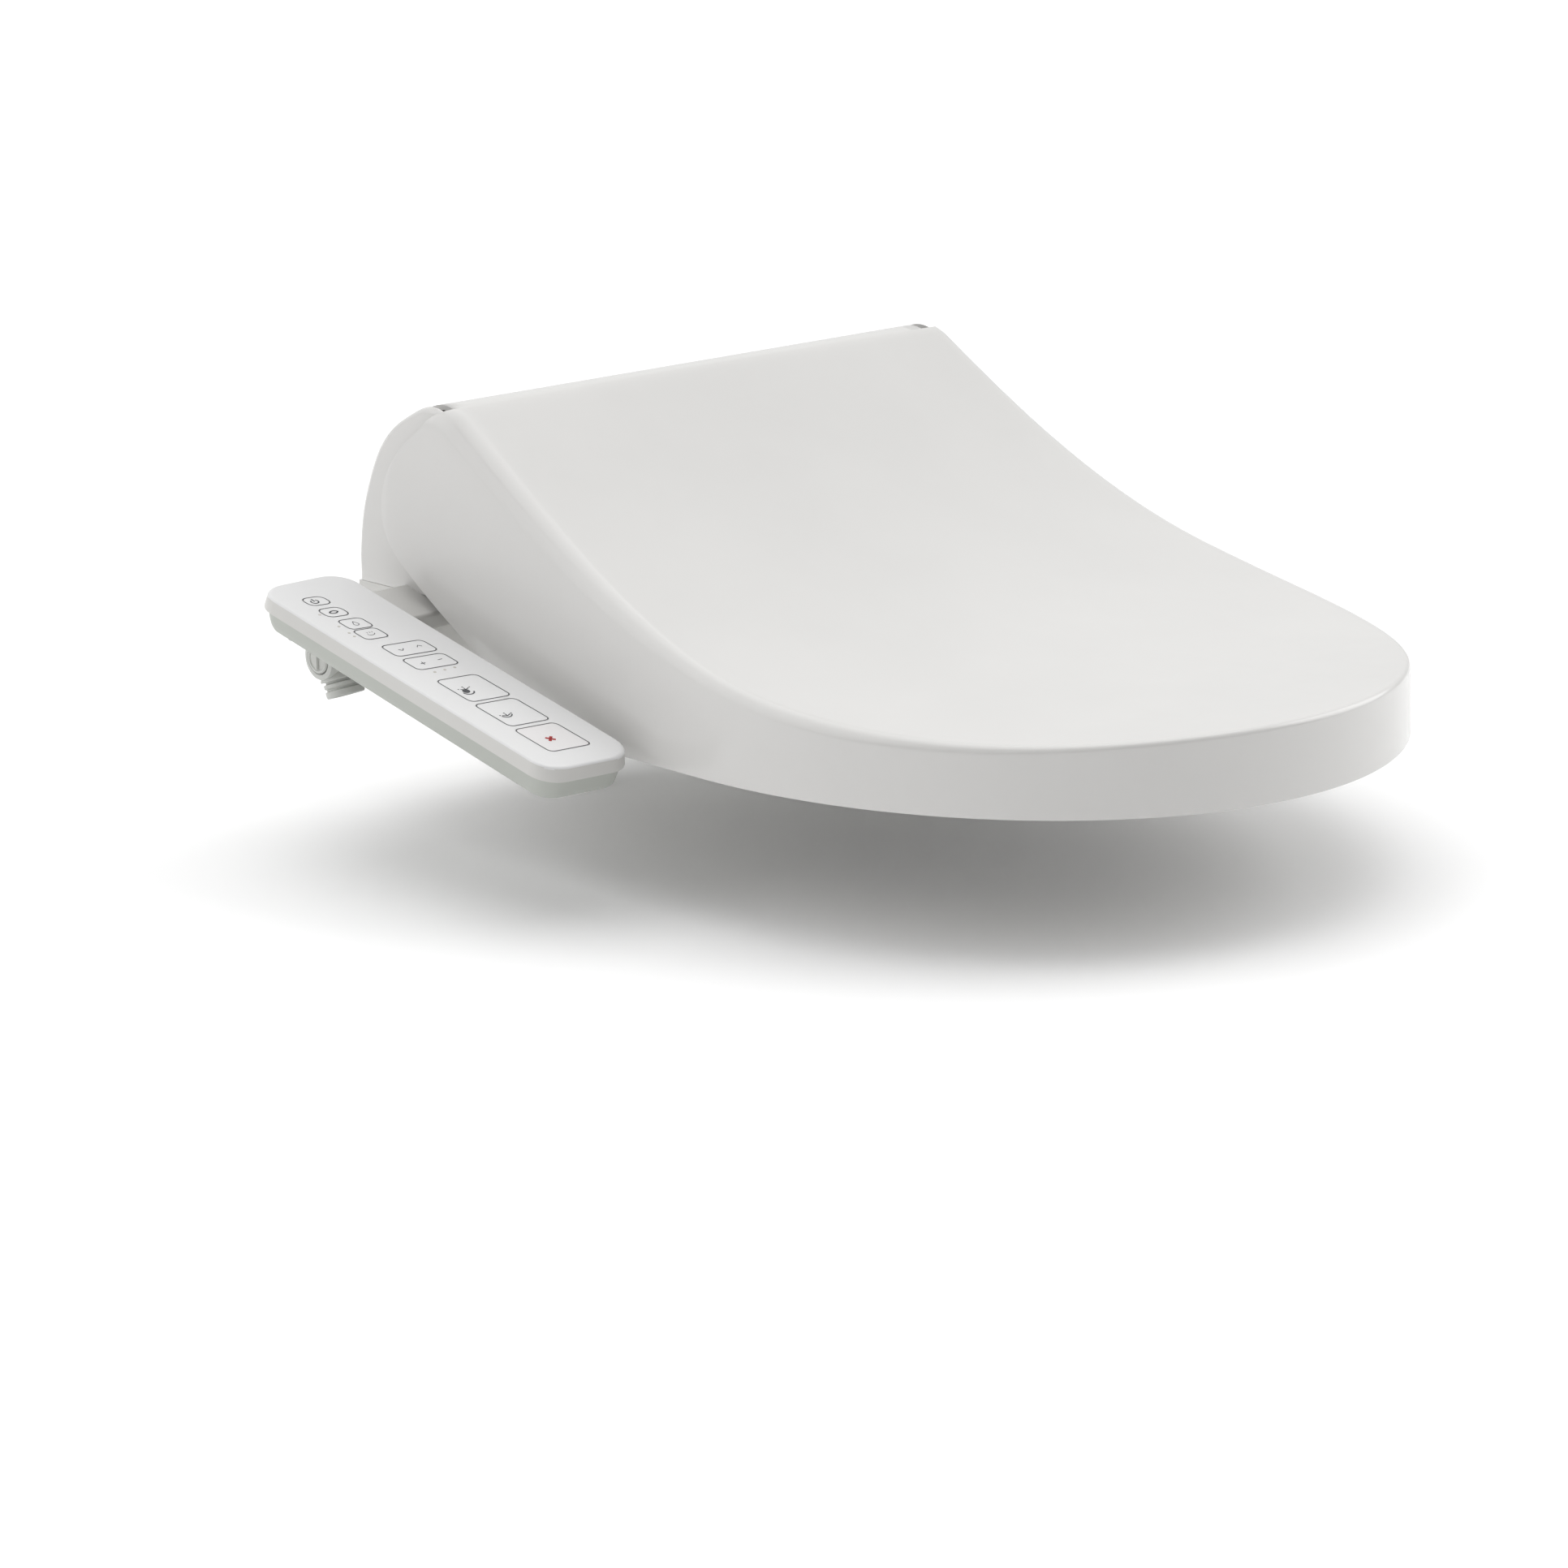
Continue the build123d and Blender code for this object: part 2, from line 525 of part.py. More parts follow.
PARTS = {
    "base_housing": base_housing, "top_cover": top_cover, "rear_cover": rear_cover, "mounting_plate": mounting_plate,
    "fixing_bolts": fixing_bolts, "cone_washers": cone_washers, "wing_nuts": wing_nuts, "base_pads": base_pads,
    "housing_screws": housing_screws, "hinge_pins": hinge_pins,
    "seat_damper": lambda: damper(-172.2, -132), "lid_damper": lambda: damper(132, 172.2),
    "inlet_elbow": inlet_elbow, "drain_plug": drain_plug, "inlet_valve": inlet_valve, "flow_regulator": flow_regulator,
    "water_hoses": water_hoses, "heater_tank": heater_tank, "heater_element": heater_element,
    "nozzle_guide": nozzle_guide, "nozzle_motor": nozzle_motor, "drive_pinion": drive_pinion,
    "nozzle_tube": nozzle_tube, "nozzle_tip": nozzle_tip, "nozzle_rack": nozzle_rack,
    "main_circuit_board": main_circuit_board, "power_board": power_board, "cord_gland": cord_gland,
    "release_button": release_button, "release_spring": release_spring,
    "seat_top_shell": seat_top_shell,
    "seat_bottom_shell": lambda: seat_ring(0.6, SEAT_Z[0], SEAT_Z[0] + 3),
    "seat_heater": lambda: seat_ring(10.4, 26.2, 27.4) - both_sides(box(ARM_X[0] - 0.6, 200, -178, -100, 20, 30)),
    "seat_bumpers": seat_bumpers,
    "seat_bushes": lambda: both_sides(rod_x(*ARM_X, AXIS_Y, AXIS_Z, 7.0)
                                      - rod_x(178, 190, AXIS_Y, AXIS_Z, PIN_R + RUN)),
    "seat_arms": lambda: both_sides(seat_arm()),
    "lid_shell": lid_shell, "lid_bumpers": lid_bumpers,
    "panel_top_shell": panel_top_shell, "panel_bottom_shell": panel_bottom_shell, "panel_screws": panel_screws,
    "panel_neck": panel_neck, "button_mat": button_mat, "panel_circuit_board": panel_circuit_board,
    "indicator_lenses": indicator_lenses,
}
for button in BUTTONS:
    PARTS[button] = lambda button=button: panel_button(button)

os.makedirs("parts", exist_ok=True)
for name, make in PARTS.items():
    export(name, make())
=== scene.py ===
import bpy
import bmesh
import json
import math
import numpy as np
from mathutils import Matrix, Vector

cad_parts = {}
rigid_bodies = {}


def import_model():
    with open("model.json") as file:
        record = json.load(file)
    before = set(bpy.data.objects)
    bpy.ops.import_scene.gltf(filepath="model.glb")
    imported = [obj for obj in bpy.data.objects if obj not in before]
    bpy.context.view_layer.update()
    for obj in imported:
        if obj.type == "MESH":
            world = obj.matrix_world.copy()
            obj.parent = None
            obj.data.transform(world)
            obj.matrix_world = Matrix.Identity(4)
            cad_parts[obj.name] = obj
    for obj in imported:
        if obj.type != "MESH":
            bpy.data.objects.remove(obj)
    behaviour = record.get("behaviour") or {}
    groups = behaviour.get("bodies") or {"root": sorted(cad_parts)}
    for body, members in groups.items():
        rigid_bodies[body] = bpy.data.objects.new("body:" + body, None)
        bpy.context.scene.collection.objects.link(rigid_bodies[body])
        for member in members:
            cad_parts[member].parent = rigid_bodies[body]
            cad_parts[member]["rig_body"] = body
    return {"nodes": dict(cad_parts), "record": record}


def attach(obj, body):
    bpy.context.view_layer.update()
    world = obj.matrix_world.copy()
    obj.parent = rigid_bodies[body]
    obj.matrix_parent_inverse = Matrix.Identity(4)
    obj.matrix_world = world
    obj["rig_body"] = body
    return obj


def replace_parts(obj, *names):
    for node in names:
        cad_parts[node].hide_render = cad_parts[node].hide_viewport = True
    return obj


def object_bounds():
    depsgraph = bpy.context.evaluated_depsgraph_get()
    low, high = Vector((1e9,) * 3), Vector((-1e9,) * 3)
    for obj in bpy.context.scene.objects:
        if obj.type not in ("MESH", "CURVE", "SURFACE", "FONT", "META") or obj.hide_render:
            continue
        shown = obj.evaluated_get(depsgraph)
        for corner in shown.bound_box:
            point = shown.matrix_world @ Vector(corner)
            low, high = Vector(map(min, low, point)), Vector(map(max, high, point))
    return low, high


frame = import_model()
cad_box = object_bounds()
NODES = frame["nodes"]

# Sizes are in millimetres in the CAD's frame: z is up, y points to the wall and the panel is on the -x side.
# MM turns them into metres where a mesh is made.
MM = 0.001
AXIS_Y, AXIS_Z = -12.0, 112.0  # the line that the seat and the lid turn about
SIDES = ((-1, "left"), (1, "right"))
SHARP = math.radians(34)  # edges that turn by more than this stay crisp
RIGHT_ANGLE = math.pi / 2


# ---- curves and meshes -----------------------------------------------------------------------------------
class Cubic:
    """Natural cubic spline through (x, y) pairs; y may be a vector."""

    def __init__(self, xs, ys):
        x, y = np.array(xs, float), np.array(ys, float)
        n, h = len(x), np.diff(x)
        a = np.eye(n)
        b = np.zeros_like(y)
        for i in range(1, n - 1):
            a[i, i - 1:i + 2] = h[i - 1], 2 * (h[i - 1] + h[i]), h[i]
            b[i] = 6 * ((y[i + 1] - y[i]) / h[i] - (y[i] - y[i - 1]) / h[i - 1])
        self.x, self.y, self.h, self.m = x, y, h, np.linalg.solve(a, b)

    def __call__(self, t):
        i = int(np.clip(np.searchsorted(self.x, t) - 1, 0, len(self.h) - 1))
        h, m, y = self.h[i], self.m, self.y
        u, v = self.x[i + 1] - t, t - self.x[i]
        bend = (m[i] * u ** 3 + m[i + 1] * v ** 3) / (6 * h)
        return bend + (y[i] / h - m[i] * h / 6) * u + (y[i + 1] / h - m[i + 1] * h / 6) * v


def path(points, n):
    """n points evenly along a smooth curve through the given ones."""
    p = np.array(points, float)
    t = np.r_[0, np.cumsum(np.linalg.norm(np.diff(p, axis=0), axis=1))]
    curve = Cubic(t, p)
    fine = np.array([curve(s) for s in np.linspace(0, t[-1], 12 * n)])
    run = np.r_[0, np.cumsum(np.linalg.norm(np.diff(fine, axis=0), axis=1))]
    even = np.linspace(0, run[-1], n)
    return [tuple(np.interp(s, run, column) for column in fine.T) for s in even]


def smoothstep(a, b, x):
    t = min(1.0, max(0.0, (x - a) / (b - a)))
    return t * t * (3 - 2 * t)


def put(name, data):
    """A new object in the scene that holds a mesh, a light or a camera."""
    obj = bpy.data.objects.new(name, data)
    bpy.context.scene.collection.objects.link(obj)
    return obj


def put_mesh(name, bm):
    mesh = bpy.data.meshes.new(name)
    bm.to_mesh(mesh)
    bm.free()
    return put(name, mesh)


def add_object(name, bm, material, body):
    """The mesh as a piece that rides on a body, smooth except at sharp corners."""
    bmesh.ops.recalc_face_normals(bm, faces=bm.faces)
    for f in bm.faces:
        f.smooth = True
    for e in bm.edges:
        e.smooth = not (len(e.link_faces) == 2 and e.calc_face_angle(0) > SHARP)
    obj = put_mesh(name, bm)
    obj.data.materials.append(material)
    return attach(obj, body)


def grid(rows, closed=False):
    """Quads between rows of points; doubled points are merged, so a row may shrink to one."""
    bm = bmesh.new()
    verts = [[bm.verts.new((x * MM, y * MM, z * MM)) for x, y, z in row] for row in rows]
    for a, b in zip(verts, verts[1:]):
        pairs = list(zip(range(len(a)), range(1, len(a))))
        if closed:
            pairs.append((len(a) - 1, 0))
        for i, j in pairs:
            bm.faces.new((a[i], a[j], b[j], b[i]))
    bmesh.ops.remove_doubles(bm, verts=bm.verts, dist=2e-6)
    bmesh.ops.dissolve_degenerate(bm, edges=bm.edges, dist=1e-7)
    return bm


def modify(obj, kind, **settings):
    modifier = obj.modifiers.new(kind.lower(), kind)
    for name, value in settings.items():
        setattr(modifier, name, value)


def bevel(obj, width, segments, angle):
    """Break the edges that turn by more than an angle in degrees."""
    modify(obj, "BEVEL", width=width * MM, segments=segments, limit_method="ANGLE",
           angle_limit=math.radians(angle))


def apply_all(obj):
    """Bake the modifiers, so the piece is plain mesh."""
    bpy.context.view_layer.update()
    graph = bpy.context.evaluated_depsgraph_get()
    done = bpy.data.meshes.new_from_object(obj.evaluated_get(graph))
    old = obj.data
    obj.modifiers.clear()
    obj.data = done
    bpy.data.meshes.remove(old)


def shell(obj, thick, edge):
    """Give an open surface its wall thickness, inwards, and break its edges."""
    modify(obj, "SOLIDIFY", thickness=thick * MM, offset=-1.0)
    bevel(obj, edge, 3, 35)
    apply_all(obj)
    for p in obj.data.polygons:
        p.use_smooth = True


def box(centre, size):
    """A plain box, given by its middle and its three sides."""
    bm = bmesh.new()
    place = Matrix.Translation(Vector(centre) * MM) @ Matrix.Diagonal((*(v * MM for v in size), 1))
    bmesh.ops.create_cube(bm, size=1.0, matrix=place)
    return bm


def cut(obj, tool):
    """Take the tool's shape out of the piece and drop the tool."""
    modify(obj, "BOOLEAN", operation="DIFFERENCE", object=tool, solver="EXACT")
    apply_all(obj)
    mesh = tool.data
    bpy.data.objects.remove(tool)
    bpy.data.meshes.remove(mesh)


def soften(node, width, material, segments=2):
    """A copy of a CAD node with its sharp edges broken, standing for the node."""
    source = NODES[node]
    bm = bmesh.new()
    bm.from_mesh(source.data)
    bmesh.ops.remove_doubles(bm, verts=bm.verts, dist=1e-6)
    bmesh.ops.dissolve_limit(bm, angle_limit=math.radians(0.6), verts=bm.verts, edges=bm.edges)
    obj = add_object("v_" + node, bm, material, source["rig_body"])
    bevel(obj, width, segments, 32)
    apply_all(obj)
    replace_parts(obj, node)


def lathe(name, profile, origin, direction, material, body, steps=64):
    """A turned piece: (distance along, radius) pairs about a line through origin."""
    start, d = Vector(origin), Vector(direction).normalized()
    side = d.orthogonal().normalized()
    up = d.cross(side)
    turns = [side * math.cos(a) + up * math.sin(a) for a in (2 * math.pi * k / steps for k in range(steps))]
    rows = [[start + d * along + turn * r for turn in turns] for along, r in profile]
    return add_object(name, grid(rows, closed=True), material, body)


# ---- materials -------------------------------------------------------------------------------------------
GLOSS_SPREAD = 0.06  # how far a plastic's roughness wanders


def new_material(name):
    m = bpy.data.materials.new(name)
    m.use_nodes = True
    nodes, links = m.node_tree.nodes, m.node_tree.links
    return m, nodes, links, nodes["Principled BSDF"]


def srgb(*levels):
    """A linear colour from screen levels of 0 to 255."""
    parts = [c / 255 for c in levels]
    return tuple(c / 12.92 if c <= 0.04045 else ((c + 0.055) / 1.055) ** 2.4 for c in parts) + (1,)


def grey(level):
    return level, level, level, 1


def scaled(colour, k):
    return tuple(min(1.0, c * k) for c in colour[:3]) + (1,)


def noise(nodes, links, scale, detail, rough, stretch=(1, 1, 1)):
    tex = nodes.new("ShaderNodeTexNoise")
    for key, value in (("Scale", scale), ("Detail", detail), ("Roughness", rough)):
        tex.inputs[key].default_value = value
    place, coords = nodes.new("ShaderNodeMapping"), nodes.new("ShaderNodeTexCoord")
    place.inputs["Scale"].default_value = stretch
    links.new(coords.outputs["Object"], place.inputs["Vector"])
    links.new(place.outputs["Vector"], tex.inputs["Vector"])
    return tex.outputs["Fac"]


def ramp(nodes, links, source, low, high, target):
    """Drive a socket from one colour to another as the source goes from low to high."""
    node = nodes.new("ShaderNodeValToRGB")
    for stop, (at, colour) in zip(node.color_ramp.elements, (low, high)):
        stop.position, stop.color = at, colour
    links.new(source, node.inputs["Fac"])
    links.new(node.outputs["Color"], target)


def plastic(name, colour, rough, grain=900.0, bump=0.05, vary=0.02, depth=0.00008, coat=0.0):
    """Moulded plastic: a faint mottle in its colour, uneven gloss and a fine skin."""
    m, nodes, links, bsdf = new_material(name)
    mottle = noise(nodes, links, 7.0, 4.0, 0.55)
    ramp(nodes, links, mottle, (0.3, scaled(colour, 1 - vary)), (0.7, scaled(colour, 1 + vary)),
         bsdf.inputs["Base Color"])
    gloss = noise(nodes, links, 22.0, 5.0, 0.6)
    ramp(nodes, links, gloss, (0.3, grey(max(0.02, rough - GLOSS_SPREAD / 2))),
         (0.72, grey(rough + GLOSS_SPREAD / 2)), bsdf.inputs["Roughness"])
    skin = nodes.new("ShaderNodeBump")
    skin.inputs["Strength"].default_value = bump
    skin.inputs["Distance"].default_value = depth
    links.new(noise(nodes, links, grain, 2.0, 0.5), skin.inputs["Height"])
    links.new(skin.outputs["Normal"], bsdf.inputs["Normal"])
    bsdf.inputs["IOR"].default_value = 1.49
    bsdf.inputs["Coat Weight"].default_value = coat
    bsdf.inputs["Coat Roughness"].default_value = 0.08
    return m


def metal(name, colour, rough, stretch=(40, 900, 900)):
    """Drawn or plated metal with fine lines."""
    m, nodes, links, bsdf = new_material(name)
    bsdf.inputs["Metallic"].default_value = 1.0
    lines = noise(nodes, links, 1.0, 4.0, 0.5, stretch)
    ramp(nodes, links, lines, (0.3, scaled(colour, 0.9)), (0.7, scaled(colour, 1.08)),
         bsdf.inputs["Base Color"])
    ramp(nodes, links, lines, (0.3, grey(rough * 0.8)), (0.7, grey(rough * 1.25)), bsdf.inputs["Roughness"])
    return m


HOUSING = srgb(206, 205, 202)
FILM = {"grain": 1800, "bump": 0.06}
FACE_SKIN = {"grain": 1600, "bump": 0.08}
MATT = {"grain": 1200, "bump": 0.15, "depth": 0.00012}
RUBBER = {"grain": 1500, "bump": 0.3, "depth": 0.00015}
PRINT = {"grain": 2500, "bump": 0.05}
M = {
    "white_shell": plastic("white_gloss_shell", srgb(210, 209, 207), 0.24, coat=0.25),
    "white_housing": plastic("white_body_plastic", HOUSING, 0.32),
    "panel_white": plastic("panel_white_plastic", srgb(222, 222, 222), 0.36, **FACE_SKIN),
    # The panel's side band is the face's own white, given a darker tone as painted shade on its sideways faces
    "panel_band": plastic("panel_side_painted_shade", HOUSING, 0.42, **FACE_SKIN),
    "panel_grey": plastic("panel_grey_plastic", srgb(180, 183, 177), 0.5, **(MATT | {"grain": 1400})),
    "button_white": plastic("button_film", srgb(224, 224, 224), 0.4, **FILM),
    "stop_white": plastic("stop_button_film", srgb(225, 223, 223), 0.4, **FILM),
    "grey_plastic": plastic("grey_moulding", srgb(196, 197, 193), 0.45, **MATT),
    "dark_plastic": plastic("dark_moulding", srgb(46, 46, 48), 0.5, vary=0.1, **(MATT | {"bump": 0.2})),
    "rubber_grey": plastic("grey_rubber", srgb(176, 176, 172), 0.72, vary=0.05, **RUBBER),
    "rubber_dark": plastic("dark_rubber", srgb(34, 34, 35), 0.7, vary=0.15, **RUBBER),
    "hose": plastic("silicone_hose", srgb(214, 216, 210), 0.35, grain=600),
    "board_green": plastic("board_mask", srgb(38, 92, 58), 0.3, grain=700, bump=0.2, vary=0.12),
    "lamp_amber": plastic("lamp_lens", srgb(196, 192, 184), 0.18),
    "steel": metal("zinc_steel", srgb(190, 190, 192), 0.3),
    "motor_metal": metal("motor_can", srgb(176, 178, 182), 0.28, (900, 60, 60)),
    "copper_heater": metal("heater_tube", srgb(196, 140, 100), 0.35),
    "foil_heater": metal("heater_foil", srgb(205, 205, 208), 0.3, (300, 300, 30)),
    "ink": plastic("printed_ink", srgb(62, 64, 68), 0.5, vary=0.08, **PRINT),
    "red_ink": plastic("printed_red", srgb(165, 30, 32), 0.5, vary=0.06, **PRINT),
}


def paint_cad():
    """Give every CAD node the material of its slot."""
    for sub in frame["record"]["subparts"]:
        data = NODES[sub["node"]].data
        data.materials.clear()
        data.materials.append(M[sub["material_slot"]])
        for p in data.polygons:
            p.material_index = 0


# ---- lid -------------------------------------------------------------------------------------------------
# The lid is a row of ribs. Each runs up the left wall, turns over the crease and crosses the top to the right.
LID_TOP = [(-482, 43.9), (-471, 43.7), (-405, 40.6), (-318, 43.4), (-208, 65.4), (-112, 111.0),
           (-32.5, 162.5)]  # (y, z) along the middle, from the front tip to the crest
LID_BOTTOM_Z = 5.0
LID_RISE = 167.0  # the height over which the walls lean in by LID_LEAN
LID_PLAN = (205, -236, -472, 202.5)  # half width, y of the widest point, front tip, half width at the rear
LID_LEAN = (-12, 6, 4.3, -9)  # what each of those gains on the way up
LID_TAPER_END = 70  # y where the sides would reach the rear half width
LID_SIDE_Y = -236  # the front's round stops here and the straight sides begin
LID_CROWN, LID_CROWN_HALF = 1.3, 195  # the top stands this much higher in the middle of that half width
EAR_Y = -122.0  # the ear's front end, on the lid's lower edge
EAR_SLOPE = [(-100, 17.1), (-78, 29.3), (-56, 41.4)]
EAR_ROUND = [(-35, 53), (-3, 73), (13.5, 88), (18, 102), (15.5, 118), (5, 134.5)]
LID_REAR_Y = -32.5
LID_ROLL = 22.0  # how far the ear's corner reaches behind LID_REAR_Y
HUB_X = 191.4
WALL_STEPS, TOP_STEPS = 9, 26
FRONT_RIBS, SIDE_RIBS, EAR_RIBS = 58, 16, 42
CREASE = np.linspace(0, RIGHT_ANGLE, 9)[1:]  # turns of the crease's round, after the wall's last point
lid_top_curve = Cubic(*zip(*LID_TOP))


def lid_top(y):
    """Height of the lid's top along its length; it rolls over behind the crest."""
    last = LID_TOP[-1][0]
    slope = (lid_top_curve(last) - lid_top_curve(last - 2)) / 2
    z = lid_top_curve(y) if y <= last else lid_top_curve(last) + slope * (y - last)
    return z - 0.02 * max(0.0, y + 40) ** 2


def lid_plan(z):
    """Half width, widest point, front tip and half width at the rear, at a height."""
    t = (z - LID_BOTTOM_Z) / LID_RISE
    return [a + lean * t for a, lean in zip(LID_PLAN, LID_LEAN)]


def lid_wall_x(y, z):
    half, wide, _, rear = lid_plan(z)
    return -(half - (half - rear) * max(0.0, (y - wide) / (LID_TAPER_END - wide)) ** 1.5)


def crease_radius(y):
    """The edge between wall and top is tight at the front and softer towards the rear."""
    return 3.0 + 4.5 * smoothstep(-460, -260, y) + 5.5 * smoothstep(-260, -90, y)


def crease_point(x, y, n, r, f):
    """A point of the crease's round, turned by f from the wall whose outward direction is n."""
    d = r * (1 - math.cos(f))
    px, py = x - n[0] * d, y - n[1] * d
    return px, py, lid_top(py) - r * (1 - math.sin(f))


def front_rib(a):
    """Wall and crease in the round of the front: a = 0 at the tip, 1 where the sides start."""
    s, c = math.sin(a * RIGHT_ANGLE), math.cos(a * RIGHT_ANGLE)

    def at(z):
        half, wide, tip, _ = lid_plan(z)
        return -half * s, wide - (wide - tip) * c, (-s / half, -c / (wide - tip))

    y = at(40)[1]
    for _ in range(3):  # the wall's place and the top's height depend on each other
        r = crease_radius(y)
        z_up = lid_top(y) - r
        y = at(z_up)[1]
    wall = [(*at(z)[:2], z) for z in np.linspace(LID_BOTTOM_Z, z_up, WALL_STEPS)]
    x, y, n = at(z_up)
    size = math.hypot(*n)
    n = (n[0] / size, n[1] / size)
    return wall, [crease_point(x, y, n, r, f) for f in CREASE]


def side_rib(y):
    """Wall and crease across the straight side."""
    r = crease_radius(y)
    wall = [(lid_wall_x(y, z), y, z) for z in np.linspace(LID_BOTTOM_Z, lid_top(y) - r, WALL_STEPS)]
    return wall, [crease_point(wall[-1][0], y, (-1, 0), r, f) for f in CREASE]


def ear_rib(t, low):
    """Wall and crease of the ear: t = 0 at its front, 1 at the rear corner; low is (y, z) of its edge."""
    def crease_y(f):
        return EAR_Y + (LID_REAR_Y + LID_ROLL * (1 - math.sin(f)) - EAR_Y) * t

    y = crease_y(0)
    r = crease_radius(y)
    z_up = lid_top(y) - r
    wall = []
    for v in np.linspace(0, 1, WALL_STEPS):
        wy, wz = low[0] + (y - low[0]) * v, low[1] + (z_up - low[1]) * v
        wall.append((lid_wall_x(wy, wz), wy, wz))
    turn = []
    for f in CREASE:
        x = wall[-1][0] + r * (1 - math.cos(f))
        turn.append((x, crease_y(f), lid_top(crease_y(f)) - r * (1 - math.sin(f))))
    return wall, turn


def whole_rib(wall, turn):
    """Both halves of a rib, from the left edge over the slightly crowned top to the right edge."""
    x, y, z = turn[-1]
    crown = LID_CROWN * (abs(x) / LID_CROWN_HALF) ** 2
    top = []
    for k in range(1, TOP_STEPS):
        u = 1 - k / TOP_STEPS
        top.append((x * u, y, z + crown * (1 - u * u)))
    half = wall + turn + top
    return half + [(0.0, y, z + crown)] + [(-px, py, pz) for px, py, pz in reversed(half)]


def build_lid():
    ribs = [whole_rib(*front_rib(a)) for a in np.linspace(0, 1, FRONT_RIBS)]
    ribs += [whole_rib(*side_rib(y)) for y in np.linspace(LID_SIDE_Y, EAR_Y, SIDE_RIBS)[1:]]
    start = (EAR_Y + 1.0, LID_BOTTOM_Z + 0.2)
    corner = LID_REAR_Y + LID_ROLL
    end = (corner, lid_top(corner) - crease_radius(corner))
    edge = path([start] + EAR_SLOPE + EAR_ROUND + [end], EAR_RIBS + 1)
    ribs += [whole_rib(*ear_rib(k / EAR_RIBS, edge[k])) for k in range(1, EAR_RIBS + 1)]
    lid = add_object("lid_shell_moulding", grid(ribs), M["white_shell"], "lid")
    shell(lid, 3.0, 0.8)
    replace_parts(lid, "lid_shell")
    hub = [(0, 5.1), (0, 8.4), (0.4, 9), (2.4, 9), (3.1, 12)]
    for side, tag in SIDES:
        lathe("lid_hub_" + tag, hub, (side * HUB_X, AXIS_Y, AXIS_Z), (side, 0, 0), M["white_housing"], "lid",
              48)


# ---- rear cover ------------------------------------------------------------------------------------------
COVER_BACK_Y, COVER_BOTTOM_Z, COVER_BEND_Z = 49.0, 58.0, 70.0  # upright from the bottom to the bend
COVER_CURVE = [(49, 72), (45, 96), (37, 117.5), (27, 135), (14, 147.5), (0, 155.3), (-12, 160.3),
               (-22, 160.6), (-30, 157.8)]  # (y, z) from the back over the top
COVER_HALF, COVER_ROUND = 190.5, 4.0
COVER_CENTRE_Z = 85.0  # the curve shrinks towards this height where the ends are rounded
COVER_END_MIDDLE = Vector((-5.0, 75.0))
COVER_STEPS, COVER_END_STEPS = 24, 9
SLOT_X, SLOT_SIZE = 184.15, (6.7, 60, 130)  # room for the seat's hinge drums


def cover_section(inset):
    """The cover's (y, z) line, moved inwards."""
    curve = [(COVER_BACK_Y, z) for z in np.linspace(COVER_BOTTOM_Z, COVER_BEND_Z, 5)] + path(COVER_CURVE, 44)
    points = []
    for y, z in curve:
        rise = max(0.0, z - COVER_CENTRE_Z)
        r = math.hypot(y, rise)
        points.append((y - y / r * inset, z - rise / r * inset))
    return points


def close_cover_end(bm, side):
    """A flat wall across the end of the cover, with a corner at the front of its foot."""
    x = side * COVER_HALF * MM
    middle = COVER_END_MIDDLE * MM
    rim = [v for v in bm.verts if abs(v.co.x - x) < 1e-6]
    rim.sort(key=lambda v: math.atan2(v.co.z - middle.y, v.co.y - middle.x))
    bm.faces.new(rim + [bm.verts.new((x, COVER_CURVE[-1][0] * MM, COVER_BOTTOM_Z * MM))])


def build_rear_cover():
    end = []
    for f in np.linspace(RIGHT_ANGLE, 0, COVER_END_STEPS):
        x = COVER_HALF - COVER_ROUND + COVER_ROUND * math.sin(f)
        end.append([(-x, y, z) for y, z in cover_section(COVER_ROUND * (1 - math.cos(f)))])
    flat = COVER_HALF - COVER_ROUND
    middle = [[(x, y, z) for y, z in cover_section(0)] for x in np.linspace(-flat, flat, COVER_STEPS)[1:-1]]
    bm = grid(end + middle + [[(-x, y, z) for x, y, z in row] for row in reversed(end)])
    for side, _ in SIDES:
        close_cover_end(bm, side)
    cover = add_object("rear_cover_moulding", bm, M["white_shell"], "base")
    shell(cover, 2.6, 0.6)
    for side, _ in SIDES:
        cut(cover, put_mesh("cutter", box((side * SLOT_X, -30, 120), SLOT_SIZE)))
    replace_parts(cover, "rear_cover")


# ---- seat ------------------------------------------------------------------------------------------------
SEAT_HALF, SEAT_WIDE_Y, SEAT_FRONT = 196, -236, 227  # half width, widest point, length in front of that
SEAT_REAR_Y, SEAT_CORNER = -124, 16
OPENING_Y, OPENING_HALF_X, OPENING_HALF_Y = -272.5, 115, 122.5
SEAT_RIM_Z, SEAT_TOP_Z = 9.2, 31.3
SEAT_STEPS = 144
DRUM_X = 181.6


def in_seat(x, y):
    """Whether a point is inside the seat's outline: half an ellipse, then straight sides to round corners."""
    if y < SEAT_WIDE_Y:
        return (x / SEAT_HALF) ** 2 + ((y - SEAT_WIDE_Y) / SEAT_FRONT) ** 2 < 1
    half = SEAT_HALF - 2 * (y - SEAT_WIDE_Y) / (SEAT_REAR_Y - SEAT_WIDE_Y)
    past_x, past_y = abs(x) - (half - SEAT_CORNER), y - (SEAT_REAR_Y - SEAT_CORNER)
    if past_x > 0 and past_y > 0:
        return math.hypot(past_x, past_y) <= SEAT_CORNER
    return past_x < SEAT_CORNER and past_y < SEAT_CORNER


def seat_reach(angle):
    """Distance of the seat's outer edge from the middle of its opening, at a plan angle."""
    low, high = 60.0, 330.0
    for _ in range(40):
        r = (low + high) / 2
        inside = in_seat(r * math.cos(angle), OPENING_Y + r * math.sin(angle))
        low, high = (r, high) if inside else (low, r)
    return low


